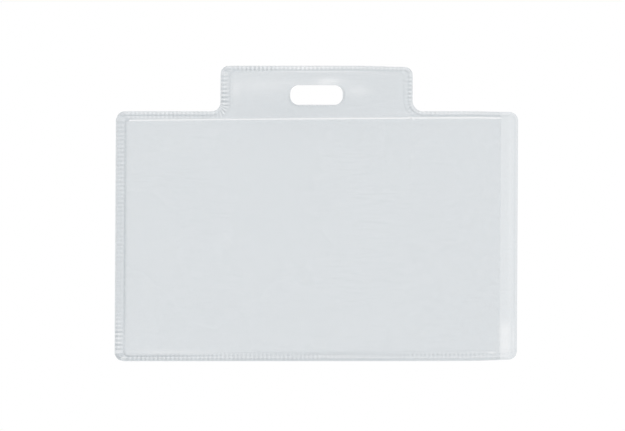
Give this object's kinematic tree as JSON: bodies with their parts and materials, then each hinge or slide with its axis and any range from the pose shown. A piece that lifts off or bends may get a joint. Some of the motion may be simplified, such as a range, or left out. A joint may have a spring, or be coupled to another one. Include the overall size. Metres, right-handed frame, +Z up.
{
  "type": "clear vinyl badge pocket",
  "caption": "Clear soft-vinyl landscape badge pocket: film sheets welded with a stitch-pattern border, open at one side, with a raised tab and a round-ended strap slot.",
  "frame": {"origin": "centre of the strap slot in the hanging tab, on the plane where the two films meet", "axes": "+Z up towards the tab's top edge, +X to the right as the badge is read (the open side), -Y towards the reader and +Y towards the wearer"},
  "size_m": [0.1002, 0.0014, 0.0733],
  "materials": {
    "front_film": "clear soft vinyl film, glossy, faintly hazy",
    "rear_film": "clear soft vinyl film, glossy, faintly hazy"
  },
  "bodies": {
    "root": {"front_film": "front_film", "rear_film": "rear_film"}
  },
  "joints": []
}
